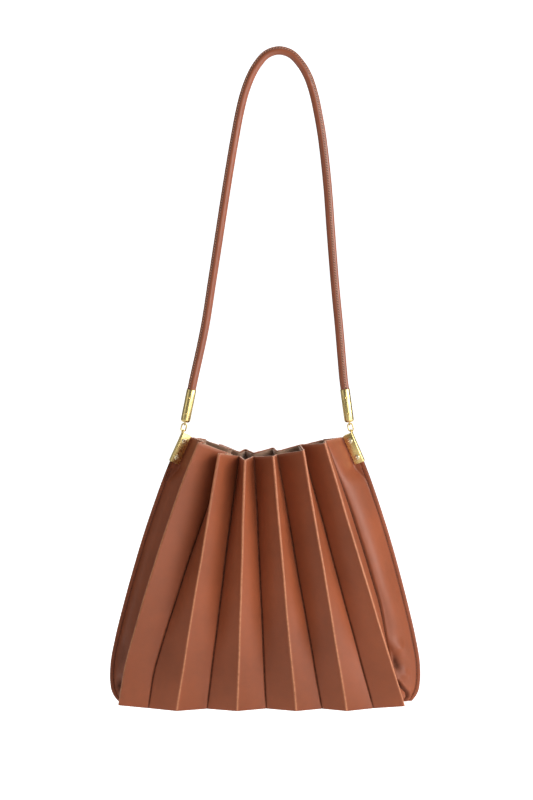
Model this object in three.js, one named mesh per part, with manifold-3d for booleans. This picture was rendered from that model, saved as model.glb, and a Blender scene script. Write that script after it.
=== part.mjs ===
// A fan-pleated leather shoulder bag, hanging by its round strap.
// Millimetres, +Z up, the front of the bag faces -Y and +X is to the viewer's right.
// The bag is worked out above the middle of its base and then moved, so that the
// origin is the point on the underside of the strap by which it hangs.
import * as THREE from 'three';
import Module from 'manifold-3d';
import { mergeVertices } from 'three/addons/utils/BufferGeometryUtils.js';

const wasm = await Module();
wasm.setup();

// Driving dimensions of the bag
const bagHeight = 272;
const baseHalfWidth = 156;
const mouthHalfWidth = 84.2;
const mouthShift = 2.25;
const mouthDip = 21.5;
const mouthHalfGap = 14;
const baseHalfDepth = 38;
const bellyDepth = 5;
const cornerLift = 5;
const seamEndLift = 1.5;
const basePleatDepth = 6.4;
const pleatPuff = 1;
const mouthPitchShare = 0.15;
const basePitchShare = 0.182;

// Walls and the clearance between neighbouring pieces
const leatherWall = 1.5;
const liningWall = 1;
const liningDrop = 1.2;
const liningLead = 0.25;
const baseThickness = 2.5;
const clearance = 0.3;

// Side seams and the metal plates over their upper ends
const seamWidth = 5;
const clipSeamWidth = 10.2;
const clipLength = 31;
const clipReach = 9;
const clipMetal = 0.8;
const clipRise = 0.8;
const screwPlaces = [6.2, 24];
const screwInset = 3.9;
const screwShaftRadius = 1.2;
const screwHeadRadius = 2.7;
const screwHeadHeight = 0.9;
const screwSides = 14;

// Links, ferrules and strap
const wireDiameter = 1.2;
const eyeRadius = 2;
const linkRadius = 2.4;
const linkStraight = 3;
const wireSteps = 14;
const wireSides = 6;
const ferruleLength = 33.4;
const ferruleRadius = 4.8;
const ferruleLip = 0.3;
const ferruleSides = 16;
const strapDiameter = 8.6;
const hangPoint = new THREE.Vector3(13.4, 0, 646.3);

// Side seam from the mouth down: the share of the height, and the share of the way
// from the mouth's half-width out to the widest half-width.
const seamRows = [
  { drop: 0, spread: 0 },
  { drop: 0.112, spread: 0.187 },
  { drop: 0.232, spread: 0.358 },
  { drop: 0.365, spread: 0.526 },
  { drop: 0.499, spread: 0.675 },
  { drop: 0.634, spread: 0.812 },
  { drop: 0.768, spread: 0.933 },
  { drop: 0.859, spread: 0.992 },
  { drop: 0.904, spread: 1 },
  { drop: 0.949, spread: 0.986 },
  { drop: 1, spread: 0.918 },
];

// Fold lines from left to right. mouthX and baseX are shares of the half-widths, bow is the
// share of the seam's own curve that the line follows, dip and lift are shares of the mouth's
// dip and the corner's lift, and mouthSet and baseSet are shares of the full depth of a ridge
// or of a valley at the mouth and at the base.
const folds = [
  { ridge: true, mouthX: -0.803, baseX: -0.933, bow: 0.5, dip: 0.24, lift: 0.9, mouthSet: 0.85, baseSet: 0.79 },
  { ridge: false, mouthX: -0.549, baseX: -0.744, bow: 0.5, dip: 0.5, lift: 0, mouthSet: 1, baseSet: 0.93 },
  { ridge: true, mouthX: -0.573, baseX: -0.56, bow: 0, dip: 0.73, lift: 0, mouthSet: 0.96, baseSet: 1 },
  { ridge: false, mouthX: -0.331, baseX: -0.371, bow: 0, dip: 0.99, lift: 0, mouthSet: 1, baseSet: 1 },
  { ridge: true, mouthX: -0.257, baseX: -0.176, bow: 0, dip: 1, lift: 0, mouthSet: 1, baseSet: 1 },
  { ridge: false, mouthX: -0.154, baseX: 0.01, bow: 0, dip: 1, lift: 0, mouthSet: 1, baseSet: 1 },
  { ridge: true, mouthX: 0.069, baseX: 0.199, bow: 0, dip: 0.83, lift: 0, mouthSet: 0.98, baseSet: 1 },
  { ridge: false, mouthX: 0.123, baseX: 0.362, bow: 0, dip: 0.92, lift: 0, mouthSet: 1, baseSet: 1 },
  { ridge: true, mouthX: 0.427, baseX: 0.522, bow: 0, dip: 0.58, lift: 0, mouthSet: 0.94, baseSet: 1 },
  { ridge: false, mouthX: 0.403, baseX: 0.695, bow: 0, dip: 0.45, lift: 0, mouthSet: 1, baseSet: 0.95 },
  { ridge: true, mouthX: 0.673, baseX: 0.889, bow: 0, dip: 0.2, lift: 0.7, mouthSet: 0.85, baseSet: 0.79 },
  { ridge: true, mouthX: 0.692, baseX: 0.903, bow: 0.5, dip: 0.18, lift: 0.7, mouthSet: 0.6, baseSet: 0.58 },
];

// How far the smooth stretches next to the seams swell, as shares of the belly's depth.
const sidePuff = { left: 0.5, right: 1 };

// Lean of each ferrule and each link away from upright, towards the middle, in degrees.
const leftHang = { link: 14.5, ferrule: 11.4 };
const rightHang = { link: 14, ferrule: 7.9 };

// Centreline of the strap between the ferrules, above the base: left strand, arch, right strand.
const strapRoute = [
  [-59.9, 376.4], [-52.3, 423.8], [-44.9, 471.1], [-37.5, 518.5], [-29.5, 565.9],
  [-25, 589.5], [-20, 609.3], [-14.1, 625], [-7.7, 636.6], [1.6, 646.8],
  [13.4, 650.6],
  [25.6, 647.2], [35.6, 636.9], [42.5, 625], [47.9, 609.3], [52.3, 589.5],
  [56.4, 565.9], [61.8, 518.5], [65.4, 471.1], [69.2, 423.8], [73.8, 376.4],
];
const strapSteps = 76;
const strapSides = 8;

const mix = THREE.MathUtils.lerp;

// Sizes that follow from the driving dimensions
const mouthPitch = mouthPitchShare * mouthHalfWidth;
const basePitch = basePitchShare * baseHalfWidth;
const pleatWidth = Math.hypot(basePitch, basePleatDepth);
const seamFace = leatherWall + clearance / 2;
const clipInnerFace = seamFace + clearance;
const clipOuterFace = clipInnerFace + clipMetal;

// Leather keeps its width, so a pleat grows shallow as it spreads towards the base.
function pleatDepth(drop) {
  return Math.sqrt(pleatWidth ** 2 - mix(mouthPitch, basePitch, drop) ** 2);
}

function valleyDepth(drop) {
  const straight = mix(mouthHalfGap, baseHalfDepth - basePleatDepth, drop);
  return straight + bellyDepth * 4 * drop * (1 - drop);
}

function foldPoint(fold, { drop, spread }) {
  const along = mix(drop, spread, fold.bow);
  const depth = valleyDepth(drop) + (fold.ridge ? pleatDepth(drop) : 0);
  return new THREE.Vector3(
    mix(mouthShift + fold.mouthX * mouthHalfWidth, fold.baseX * baseHalfWidth, along),
    -depth * mix(fold.mouthSet, fold.baseSet, drop),
    mix(bagHeight - fold.dip * mouthDip, fold.lift * cornerLift, drop),
  );
}

function seamPoint(side, { drop, spread }) {
  return new THREE.Vector3(
    side * mix(mouthHalfWidth, baseHalfWidth, spread) + mouthShift * (1 - drop),
    -seamFace,
    mix(bagHeight, seamEndLift, drop),
  );
}

// Unit vectors of a seam at a row: down along the seam, and inward across it.
function seamAxes(side, row) {
  const above = seamPoint(side, seamRows[Math.max(row - 1, 0)]);
  const below = seamPoint(side, seamRows[Math.min(row + 1, seamRows.length - 1)]);
  const down = row <= 1 ? seamPoint(side, seamRows[1]).sub(seamPoint(side, seamRows[0])) : below.sub(above);
  down.normalize();
  return { down, inward: new THREE.Vector3(side * down.z, 0, -side * down.x) };
}

function seamInnerPoint(side, row) {
  const width = row <= 1 ? clipSeamWidth : seamWidth;
  return seamPoint(side, seamRows[row]).addScaledVector(seamAxes(side, row).inward, width);
}

// A point between two lines of the sheet, swelling outward by puff.
function betweenPoint(a, b, puff) {
  const across = new THREE.Vector3().subVectors(b, a);
  const outward = new THREE.Vector3(across.y, -across.x, 0).normalize();
  return new THREE.Vector3().lerpVectors(a, b, 0.5).addScaledVector(outward, puff);
}

// The outer face of the front panel at one row, from the left seam to the right one.
function panelRow(row) {
  const place = seamRows[row];
  const swell = 4 * place.drop * (1 - place.drop);
  const creases = folds.map((fold) => foldPoint(fold, place));
  const left = seamInnerPoint(-1, row);
  const right = seamInnerPoint(1, row);
  const leftMiddle = betweenPoint(left, creases[0], sidePuff.left * bellyDepth * swell);
  const rightMiddle = betweenPoint(creases.at(-1), right, sidePuff.right * bellyDepth * swell);
  const points = [seamPoint(-1, place), left, left.clone().lerp(leftMiddle, liningLead), leftMiddle];
  creases.forEach((crease, index) => {
    points.push(crease);
    if (index < creases.length - 2) {
      points.push(betweenPoint(crease, creases[index + 1], pleatPuff * swell));
    }
  });
  points.push(rightMiddle, right.clone().lerp(rightMiddle, liningLead), right, seamPoint(1, place));
  return points;
}

// A row of points moved inward by a distance, with mitred corners.
function offsetRow(points, distance) {
  const normals = points.slice(1).map((point, index) => {
    const step = new THREE.Vector2(point.x - points[index].x, point.y - points[index].y).normalize();
    return new THREE.Vector2(-step.y, step.x);
  });
  return points.map((point, index) => {
    const before = normals[Math.max(index - 1, 0)];
    const after = normals[Math.min(index, normals.length - 1)];
    const mitre = before.clone().add(after).normalize();
    const reach = distance / mitre.dot(after);
    return new THREE.Vector3(point.x + mitre.x * reach, point.y + mitre.y * reach, point.z);
  });
}

// The row that lies a given height away from a row, towards another row.
function rowAt(from, to, rise) {
  return from.map((point, index) => (
    point.clone().lerp(to[index], rise / Math.abs(to[index].z - point.z))));
}

function meshFrom(positions, triangles) {
  const geometry = new THREE.BufferGeometry();
  geometry.setAttribute('position', new THREE.Float32BufferAttribute(positions, 3));
  geometry.setIndex(triangles);
  return geometry;
}

// A closed sheet between an outer and an inner grid of rows, which run from the top down.
function sheetGeometry(outer, inner) {
  const rows = outer.length;
  const columns = outer[0].length;
  const positions = [...outer.flat(), ...inner.flat()].flatMap((point) => point.toArray());
  const triangles = [];
  const quad = (a, b, c, d) => triangles.push(a, b, c, a, c, d);
  const out = (row, column) => row * columns + column;
  const back = (row, column) => rows * columns + out(row, column);
  for (let row = 0; row < rows - 1; row += 1) {
    for (let column = 0; column < columns - 1; column += 1) {
      quad(out(row, column), out(row + 1, column), out(row + 1, column + 1), out(row, column + 1));
      quad(back(row, column), back(row, column + 1), back(row + 1, column + 1), back(row + 1, column));
    }
    const last = columns - 1;
    quad(out(row, 0), back(row, 0), back(row + 1, 0), out(row + 1, 0));
    quad(out(row, last), out(row + 1, last), back(row + 1, last), back(row, last));
  }
  const bottom = rows - 1;
  for (let column = 0; column < columns - 1; column += 1) {
    quad(out(0, column), out(0, column + 1), back(0, column + 1), back(0, column));
    quad(out(bottom, column), back(bottom, column), back(bottom, column + 1), out(bottom, column + 1));
  }
  return meshFrom(positions, triangles);
}

// The back of the bag is the front's mirror image in the plane of the seams.
function mirrored(geometry) {
  const copy = geometry.clone().scale(1, -1, 1);
  const index = copy.getIndex();
  for (let corner = 0; corner < index.count; corner += 3) {
    const second = index.getX(corner + 1);
    index.setX(corner + 1, index.getX(corner + 2));
    index.setX(corner + 2, second);
  }
  return copy;
}

function toSolid(geometry) {
  const bare = geometry.clone();
  bare.deleteAttribute('normal');
  bare.deleteAttribute('uv');
  const merged = mergeVertices(bare, 1e-4);
  return new wasm.Manifold(new wasm.Mesh({
    numProp: 3,
    vertProperties: Float32Array.from(merged.getAttribute('position').array),
    triVerts: Uint32Array.from(merged.getIndex().array),
  }));
}

function fromSolid(solid) {
  const mesh = solid.getMesh();
  return meshFrom(Array.from(mesh.vertProperties), Array.from(mesh.triVerts));
}

function cut(geometry, tools) {
  return fromSolid(tools.reduce((solid, tool) => solid.subtract(toSolid(tool)), toSolid(geometry)));
}

function join(geometries) {
  return fromSolid(geometries.map(toSolid).reduce((sum, solid) => sum.add(solid)));
}

// A geometry made in a seam's frame: local x runs inward, y across the seam's faces, z up along it.
function atSeam(geometry, side) {
  const { down, inward } = seamAxes(side, 0);
  const up = down.clone().negate();
  const across = new THREE.Vector3().crossVectors(up, inward);
  const corner = seamPoint(side, seamRows[0]).setY(0);
  return geometry.applyMatrix4(new THREE.Matrix4().makeBasis(inward, across, up).setPosition(corner));
}

function shaft(radius, length, place, side) {
  const rod = new THREE.CylinderGeometry(radius, radius, length, screwSides);
  return atSeam(rod.translate(screwInset, 0, -place), side);
}

function screwHoles() {
  const length = 4 * clipOuterFace;
  return [-1, 1].flatMap((side) => screwPlaces.map((place) => (
    shaft(screwShaftRadius + clearance, length, place, side))));
}

// Height of the lug's middle above the top of the plate, and the steps up to the ferrule.
const lugRise = 0.9;
const linkReach = linkStraight / 2 + linkRadius - wireDiameter - clearance + eyeRadius;
const lug = new THREE.Vector3(-clearance - clipMetal / 2, 0, clipRise + lugRise);

// A closed ring of round wire in the local XZ plane: two half circles and two straights.
function wireRing(radius, straight) {
  const positions = [];
  const triangles = [];
  for (let step = 0; step < wireSteps; step += 1) {
    const turn = ((step + 0.5) / wireSteps) * 2 * Math.PI;
    const centreZ = Math.sign(Math.sin(turn)) * straight / 2;
    for (let side = 0; side < wireSides; side += 1) {
      const around = (side / wireSides) * 2 * Math.PI;
      const reach = radius + (wireDiameter / 2) * Math.cos(around);
      positions.push(
        reach * Math.cos(turn),
        (wireDiameter / 2) * Math.sin(around),
        centreZ + reach * Math.sin(turn),
      );
      const nextStep = ((step + 1) % wireSteps) * wireSides;
      const nextSide = (side + 1) % wireSides;
      const [a, b] = [step * wireSides + side, step * wireSides + nextSide];
      const [c, d] = [nextStep + nextSide, nextStep + side];
      triangles.push(a, b, c, a, c, d);
    }
  }
  return meshFrom(positions, triangles);
}

// The plate is folded over the seam: a channel with a round back and a lug for the link.
function clipGeometry(side) {
  const outline = new THREE.Shape();
  outline.moveTo(clipReach, -clipOuterFace);
  outline.lineTo(clipReach, -clipInnerFace);
  outline.lineTo(-clearance, -clipInnerFace);
  outline.lineTo(-clearance, clipInnerFace);
  outline.lineTo(clipReach, clipInnerFace);
  outline.lineTo(clipReach, clipOuterFace);
  outline.lineTo(0, clipOuterFace);
  outline.lineTo(-clearance - clipMetal, clipInnerFace);
  outline.lineTo(-clearance - clipMetal, -clipInnerFace);
  outline.lineTo(0, -clipOuterFace);
  outline.closePath();
  const channel = new THREE.ExtrudeGeometry(outline, { depth: clipLength, bevelEnabled: false });
  channel.translate(0, 0, clipRise - clipLength);
  const ring = wireRing(eyeRadius, 0).rotateZ(Math.PI / 2).translate(lug.x, lug.y, lug.z);
  const plate = join([channel, ring]);
  return cut(atSeam(plate, side), screwHoles());
}

// A pair of round heads on one shaft, like a post and its cap.
function screwGeometry(place, side) {
  const headFace = clipOuterFace + clearance;
  const rim = screwHeadHeight / 2;
  const profile = [
    new THREE.Vector2(0, -headFace - screwHeadHeight),
    new THREE.Vector2(screwHeadRadius - rim, -headFace - screwHeadHeight),
    new THREE.Vector2(screwHeadRadius, -headFace - rim),
    new THREE.Vector2(screwHeadRadius, -headFace),
    new THREE.Vector2(screwShaftRadius, -headFace),
    new THREE.Vector2(screwShaftRadius, headFace),
    new THREE.Vector2(screwHeadRadius, headFace),
    new THREE.Vector2(screwHeadRadius, headFace + rim),
    new THREE.Vector2(screwHeadRadius - rim, headFace + screwHeadHeight),
    new THREE.Vector2(0, headFace + screwHeadHeight),
  ];
  const screw = new THREE.LatheGeometry(profile, screwSides);
  return atSeam(screw.translate(screwInset, 0, -place), side);
}

// Where the link and the ferrule of one side hang: their middles and their directions.
function hangingPlaces(side, lean) {
  const corner = atSeam(new THREE.BufferGeometry().setFromPoints([lug]), side);
  const lugMiddle = new THREE.Vector3().fromBufferAttribute(corner.getAttribute('position'), 0);
  const upAt = (degrees) => {
    const angle = THREE.MathUtils.degToRad(degrees);
    return new THREE.Vector3(-side * Math.sin(angle), 0, Math.cos(angle));
  };
  const linkUp = upAt(lean.link);
  const ferruleUp = upAt(lean.ferrule);
  const link = lugMiddle.clone().addScaledVector(linkUp, linkReach);
  const eye = link.clone().addScaledVector(linkUp, linkReach);
  const ferrule = eye.clone().addScaledVector(ferruleUp, lugRise);
  const top = ferrule.clone().addScaledVector(ferruleUp, ferruleLength);
  return { linkUp, ferruleUp, link, eye, ferrule, top };
}

// A geometry whose local z runs along a direction of the XZ plane, set at a point.
function setUp(geometry, point, up) {
  const across = new THREE.Vector3(up.z, 0, -up.x);
  const depth = new THREE.Vector3(0, 1, 0);
  return geometry.applyMatrix4(new THREE.Matrix4().makeBasis(across, depth, up).setPosition(point));
}

function ferruleGeometry(places) {
  const profile = [
    new THREE.Vector2(0, 0),
    new THREE.Vector2(0.5 * ferruleRadius, 0),
    new THREE.Vector2(0.85 * ferruleRadius, 0.25 * ferruleRadius),
    new THREE.Vector2(ferruleRadius, 0.6 * ferruleRadius),
    new THREE.Vector2(ferruleRadius, ferruleLength - 2 * ferruleLip),
    new THREE.Vector2(ferruleRadius - ferruleLip, ferruleLength),
    new THREE.Vector2(0, ferruleLength),
  ];
  const sleeve = new THREE.LatheGeometry(profile, ferruleSides).rotateX(Math.PI / 2);
  const eye = wireRing(eyeRadius, 0).rotateZ(Math.PI / 2).translate(0, 0, -lugRise);
  return setUp(join([sleeve, eye]), places.ferrule, places.ferruleUp);
}

function strapGeometry(left, right) {
  const ends = [left, right].map(({ top, ferruleUp }) => [
    top.clone().addScaledVector(ferruleUp, clearance),
    top.clone().addScaledVector(ferruleUp, strapDiameter),
  ]);
  const route = strapRoute.map(([x, z]) => new THREE.Vector3(x, 0, z));
  const path = new THREE.CatmullRomCurve3([...ends[0], ...route, ...ends[1].reverse()], false, 'centripetal');
  const section = new THREE.Shape();
  for (let side = 0; side < strapSides; side += 1) {
    const turn = ((side + 0.5) / strapSides) * 2 * Math.PI;
    const [x, y] = [Math.cos(turn), Math.sin(turn)].map((part) => part * strapDiameter / 2);
    if (side === 0) section.moveTo(x, y);
    else section.lineTo(x, y);
  }
  section.closePath();
  return new THREE.ExtrudeGeometry(section, { steps: strapSteps, extrudePath: path, bevelEnabled: false });
}

// The base fills the space between the lower edges of the two panels.
function baseGeometry(lowest, above) {
  const inset = leatherWall + 2 * clearance;
  const edge = offsetRow(lowest, inset);
  const ends = [lowest[1].x + inset, lowest.at(-2).x - inset];
  const [under, over] = [edge, rowAt(edge, offsetRow(above, inset), baseThickness)].map((row) => (
    row.slice(4, -4).map((point) => point.setX(THREE.MathUtils.clamp(point.x, ends[0], ends[1])))));
  const columns = under.length;
  const mirrorRow = (row) => row.map((point) => new THREE.Vector3(point.x, -point.y, point.z));
  const rings = [under, mirrorRow(under), mirrorRow(over), over];
  const positions = rings.flat().flatMap((point) => point.toArray());
  const triangles = [];
  const quad = (a, b, c, d) => triangles.push(a, b, c, a, c, d);
  for (let column = 0; column < columns - 1; column += 1) {
    rings.forEach((ring, index) => {
      const near = index * columns + column;
      const far = ((index + 1) % rings.length) * columns + column;
      quad(near, far, far + 1, near + 1);
    });
  }
  const last = columns - 1;
  quad(0, 3 * columns, 2 * columns, columns);
  quad(last, columns + last, 2 * columns + last, 3 * columns + last);
  return meshFrom(positions, triangles);
}

// The lining leaves out the seams, starts below the mouth's edge and ends above the base.
function liningGeometry(rows) {
  const layer = (distance) => {
    const moved = rows.map((row) => offsetRow(row, distance).slice(2, -2));
    return [rowAt(moved[0], moved[1], liningDrop), ...moved.slice(1)];
  };
  const near = leatherWall + clearance;
  return sheetGeometry(layer(near), layer(near + liningWall));
}

const finishes = {
  leather: { color: 0x8a4a2c, roughness: 0.45, metalness: 0 },
  lining: { color: 0x6b4e3d, roughness: 0.9, metalness: 0 },
  gold: { color: 0xd9b65c, roughness: 0.25, metalness: 1 },
  strap: { color: 0x8a4a2c, roughness: 0.5, metalness: 0 },
};

function piece(name, geometry, finish) {
  const mesh = new THREE.Mesh(geometry, new THREE.MeshStandardMaterial(finishes[finish]));
  mesh.name = name;
  mesh.geometry.computeVertexNormals();
  return mesh;
}

// The panels have one more row where the lining ends, just above the base.
const outerRows = seamRows.map((_, row) => panelRow(row));
const lowestRow = outerRows.pop();
outerRows.push(rowAt(lowestRow, outerRows.at(-1), baseThickness + 2 * clearance), lowestRow);
const innerRows = outerRows.map((row) => offsetRow(row, leatherWall));
const frontPanel = cut(sheetGeometry(outerRows, innerRows), screwHoles());
const frontLining = liningGeometry(outerRows.slice(0, -1));
const leftPlaces = hangingPlaces(-1, leftHang);
const rightPlaces = hangingPlaces(1, rightHang);

const bag = new THREE.Group();
bag.add(
  piece('front_panel', frontPanel, 'leather'),
  piece('back_panel', mirrored(frontPanel), 'leather'),
  piece('front_lining', frontLining, 'lining'),
  piece('back_lining', mirrored(frontLining), 'lining'),
  piece('base', baseGeometry(outerRows.at(-1), outerRows.at(-2)), 'leather'),
  piece('strap_cord', strapGeometry(leftPlaces, rightPlaces), 'strap'),
);

const sides = [
  { name: 'left', side: -1, places: leftPlaces },
  { name: 'right', side: 1, places: rightPlaces },
];
for (const { name, side, places } of sides) {
  bag.add(
    piece(`corner_clip_${name}`, clipGeometry(side), 'gold'),
    piece(`clip_screw_${name}_upper`, screwGeometry(screwPlaces[0], side), 'gold'),
    piece(`clip_screw_${name}_lower`, screwGeometry(screwPlaces[1], side), 'gold'),
    piece(`link_${name}`, setUp(wireRing(linkRadius, linkStraight), places.link, places.linkUp), 'gold'),
    piece(`ferrule_${name}`, ferruleGeometry(places), 'gold'),
  );
}
bag.position.copy(hangPoint).negate();

export default bag;
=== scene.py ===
import math
from collections import namedtuple
from functools import partial

import bmesh
import bpy
import numpy as np
from bpy.props import FloatProperty, FloatVectorProperty, IntProperty, PointerProperty
from mathutils import Matrix, Vector


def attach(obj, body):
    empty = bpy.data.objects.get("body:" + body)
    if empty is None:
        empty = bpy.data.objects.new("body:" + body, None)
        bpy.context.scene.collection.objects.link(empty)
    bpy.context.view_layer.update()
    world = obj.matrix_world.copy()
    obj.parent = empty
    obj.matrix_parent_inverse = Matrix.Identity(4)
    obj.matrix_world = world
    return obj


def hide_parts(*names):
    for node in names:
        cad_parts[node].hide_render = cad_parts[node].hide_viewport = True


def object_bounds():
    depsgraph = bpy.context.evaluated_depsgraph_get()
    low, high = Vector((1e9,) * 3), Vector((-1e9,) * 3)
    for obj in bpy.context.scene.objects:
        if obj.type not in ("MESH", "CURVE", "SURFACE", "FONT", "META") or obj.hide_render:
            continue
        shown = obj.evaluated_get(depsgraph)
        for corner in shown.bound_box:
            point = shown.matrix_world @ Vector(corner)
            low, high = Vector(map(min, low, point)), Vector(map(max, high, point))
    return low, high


bl_info = {
    "name": "Pleated Shoulder Bag",
    "version": (1, 0, 0),
    "blender": (4, 5, 0),
    "location": "View3D > Sidebar > Bag",
    "description": "Makes a fan-pleated leather shoulder bag over its packed frame",
    "category": "Add Mesh",
}

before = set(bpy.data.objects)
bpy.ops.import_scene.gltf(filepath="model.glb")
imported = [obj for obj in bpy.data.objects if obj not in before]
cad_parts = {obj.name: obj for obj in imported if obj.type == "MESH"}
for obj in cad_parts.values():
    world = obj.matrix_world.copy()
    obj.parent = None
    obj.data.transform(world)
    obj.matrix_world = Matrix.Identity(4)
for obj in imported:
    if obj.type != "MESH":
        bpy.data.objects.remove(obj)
frame_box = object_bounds()

MM = 0.001

# The bag is worked out above the middle of its base. Its origin is where the strap hangs.
HANG_POINT = np.array((0.0134, 0.0, 0.6463))

# Side seam from the mouth down: share of the height, and of the way out to the widest half-width.
SEAM_DROP = (0, 0.112, 0.232, 0.365, 0.499, 0.634, 0.768, 0.859, 0.904, 0.949, 0.976, 1)
SEAM_SPREAD = (0, 0.187, 0.358, 0.526, 0.675, 0.812, 0.933, 0.992, 1, 0.986, 0.95, 0.885)

# Fold lines from left to right: kind, place at the mouth and at the base as shares of the
# half-widths, bow, dip, lift, the shares of the full depth at the mouth and at the base, and how
# many millimetres lower the back's mouth edge hangs there.
Fold = namedtuple("Fold", "kind mouth_x base_x bow dip lift mouth_set base_set back_drop")
FOLDS = tuple(Fold(*row) for row in (
    ("crease", -0.75, -0.915, 0.4, 0.28, 0.9, 0.58, 0.6, 2.5),
    ("ridge", -0.803, -0.933, 0.5, 0.24, 0.9, 0.85, 0.79, 3.2),
    ("valley", -0.44, -0.744, 0.5, 0.84, 0, 1, 0.93, -1.5),
    ("ridge", -0.573, -0.56, 0, 0.73, 0, 0.96, 1, -1),
    ("valley", -0.331, -0.371, 0, 0.99, 0, 1, 1, -1.5),
    ("ridge", -0.257, -0.176, 0, 1, 0, 1, 1, -1.5),
    ("valley", -0.154, 0.01, 0, 1, 0, 1, 1, -1),
    ("ridge", 0.069, 0.199, 0, 0.83, 0, 0.98, 1, 0.5),
    ("valley", 0.123, 0.362, 0, 0.92, 0, 1, 1, -1),
    ("ridge", 0.427, 0.522, 0, 0.58, 0, 0.94, 1, 2),
    ("valley", 0.403, 0.695, 0, 0.45, 0, 1, 0.95, 3),
    ("ridge", 0.673, 0.889, 0, 0.28, 0.7, 0.85, 0.79, 4.0),
    ("crease", 0.692, 0.88, 0.45, 0.24, 0.7, 0.52, 0.5, 3.0),
))

# Soft dents and bulges of the outer faces, in millimetres above the middle of the base.
Swell = namedtuple("Swell", "x z half_width half_height lean rise")
RIGHT_SWELLS = tuple(Swell(*row) for row in (
    (133, 58.5, 6.5, 7.5, 0.3, 4.2),
    (129.5, 44.5, 4.4, 8, 0.35, -4),
    (139.5, 31, 5, 7, 0.4, 2.2),
    (133.5, 41, 4, 6, 0.4, -1.2),
    (121, 92, 7, 22, 0.3, -0.8),
))
LEFT_SWELLS = tuple(Swell(*row) for row in (
    (-147.3, 20, 3, 7, -0.3, -3.4),
    (-143, 50, 5, 16, -0.25, -1.2),
))
# The depth in millimetres at which a dent's painted shade is full, and how fast that painted shade falls off.
FULL_SHADE_DEPTH, SHADE_FALL = 2.8, 1.3

# A tucked crease at the right lower corner, from its upper end down, in millimetres: its points, its
# depth and width, the height and width of the lip beside it and the width of the lip's edge.
CORNER_CREASE = (
    (132.2, 25.5), (134.6, 22.5), (137.1, 19), (140.5, 15), (143, 11.7), (143.9, 6.8), (141.2, 3.3),
)
CREASE_DEPTH, CREASE_WIDTH, LIP_HEIGHT, LIP_WIDTH, LIP_EDGE = 3.0 * MM, 1.0 * MM, 1.3 * MM, 4 * MM, 0.5 * MM

# How uneven a fold is in x, y and z, how far a ridge's foot hangs, how far the last crease is tucked
# behind the last ridge, and how deep the valleys are pinched.
FOLD_UNEVENNESS = (0.45 * MM, 0.6 * MM, 0.35 * MM)
RIDGE_SAG, LAST_TUCK, PINCH_DEPTH = 1.1 * MM, 4.8 * MM, 1.0 * MM
# Radius of the bend beside the flat seam, under the clip and below it.
SEAM_BEND_AT_CLIP, SEAM_BEND = -2.6 * MM, -0.9 * MM
# Half widths of the worn and painted highlight line on a ridge, of the painted shade in a valley and of the
# painted shade beside the seam.
WEAR_AND_HIGHLIGHT_WIDTH, SHADE_WIDTH, SEAM_SHADE_WIDTH = 1.0 * MM, 0.75 * MM, 0.7 * MM
# Turned edge of the flat seam and the groove of its stitches: depth and half width of each.
EDGE_TURN, EDGE_WIDTH, THREAD_GROOVE, THREAD_WIDTH = 0.5 * MM, 0.7 * MM, 0.4 * MM, 0.4 * MM

# Centreline of the strap between the ferrules, above the base.
STRAP_ROUTE = (
    (-59.9, 376.4), (-52.3, 423.8), (-44.9, 471.1), (-37.5, 518.5), (-29.5, 565.9),
    (-25, 589.5), (-20, 609.3), (-14.1, 625), (-7.7, 636.6), (1.6, 646.8),
    (13.4, 650.6),
    (25.6, 647.2), (35.6, 636.9), (42.5, 625), (47.9, 609.3), (52.3, 589.5),
    (56.4, 565.9), (61.8, 518.5), (65.4, 471.1), (69.2, 423.8), (73.8, 376.4),
)

# Points round the strap, and across its seam in radians: half width of the groove, place and half
# width of the lips beside it, and slant of the stitches. Groove and lips are shares of the radius.
STRAP_SIDES, GROOVE_ANGLE, LIP_ANGLE, LIP_SPREAD, STITCH_SLANT = 28, 0.3, 0.48, 0.2, 0.6
GROOVE_DEPTH, LIP_RISE = 0.085, 0.014

# Where the camera looks, its distance, its tilt in degrees and its lens in millimetres.
VIEW_CENTRE = Vector((-0.0118, 0, -0.34085))
VIEW_DISTANCE, VIEW_TILT, VIEW_LENS = 2.6, 5.3, 117.54
# Soft lights: name, place, size and power.
LIGHTS = (
    ("side_light", (2.25, -1.05, 0.3), 1.6, 52),
    ("key_light", (1.3, -2.2, 0.2), 1.2, 11),
    ("low_light", (1.15, -1.95, -0.6), 0.8, 4),
    ("fill_light", (-2.1, -1.0, 0.2), 1.2, 4),
    ("clip_light", (0.42, -0.86, -0.66), 0.5, 1.0),
    ("top_light", (0.1, -0.3, 1.5), 1.2, 6),
    ("back_light", (-0.6, 1.3, 0.9), 1.2, 14),
)
# Brightness of the room and of the floor, first as light and then as the camera sees it.
ROOM_GLOW, FLOOR_GLOW = (0.17, 0.97), (0.05, 0.7)
# Size of the floor, how far it lies below the bag, and the height and bend of the backdrop.
FLOOR_SIZE, FLOOR_DROP, BACKDROP_HEIGHT, BACKDROP_BEND = 6, 0.12, 4.5, 1.2

# Lean of each link and ferrule towards the middle, in degrees. -1 is the left side and 1 the right.
HANG_LEAN = {-1: (14.5, 11.4), 1: (14.0, 7.9)}
# Steps of a screw head from its rolled edge to its recess: width of each and its rise.
SCREW_STEPS = ((0.95 * MM, 0.1 * MM), (0.12 * MM, -0.3 * MM), (0.05 * MM, -0.7 * MM))
SIDES = {-1: "left", 1: "right"}
FACES = {1: "front", -1: "back"}


def length_of(name, description, default):
    """A length that the panel shows."""
    return FloatProperty(name=name, description=description, default=default, unit="LENGTH")


def colour_of(name, description, default):
    """A colour that the panel shows."""
    return FloatVectorProperty(name=name, description=description, default=default, subtype="COLOR", size=3)


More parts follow.
